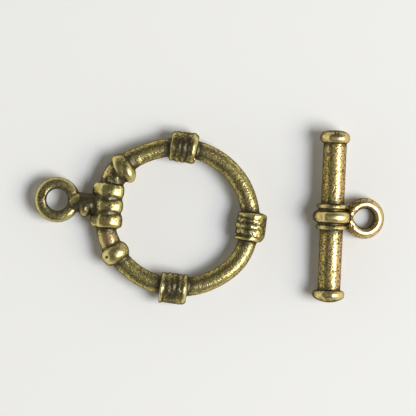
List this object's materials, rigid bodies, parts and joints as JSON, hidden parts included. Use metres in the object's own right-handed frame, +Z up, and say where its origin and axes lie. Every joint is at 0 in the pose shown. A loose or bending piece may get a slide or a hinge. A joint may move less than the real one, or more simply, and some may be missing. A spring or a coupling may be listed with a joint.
{
  "type": "toggle clasp",
  "caption": "Jewellery toggle clasp of cast antique brass: a round ring with wire-wrapped bands and a straight bar, each with a loop for a chain.",
  "frame": {"origin": "on the surface that the clasp lies on, under the middle of the pair's box", "axes": "+Z up from the surface; +X from the ring half's side to the bar half; +Y along the bar, towards its smaller cap"},
  "size_m": [0.0302, 0.0151, 0.0032],
  "materials": {
    "ring_brass": "antique brass, dark olive patina with rubbed gold edges",
    "bar_brass": "antique brass, coppery gold with dark patina in the grooves"
  },
  "bodies": {
    "root": {"toggle_ring": "ring_brass", "toggle_bar": "bar_brass"}
  },
  "joints": []
}
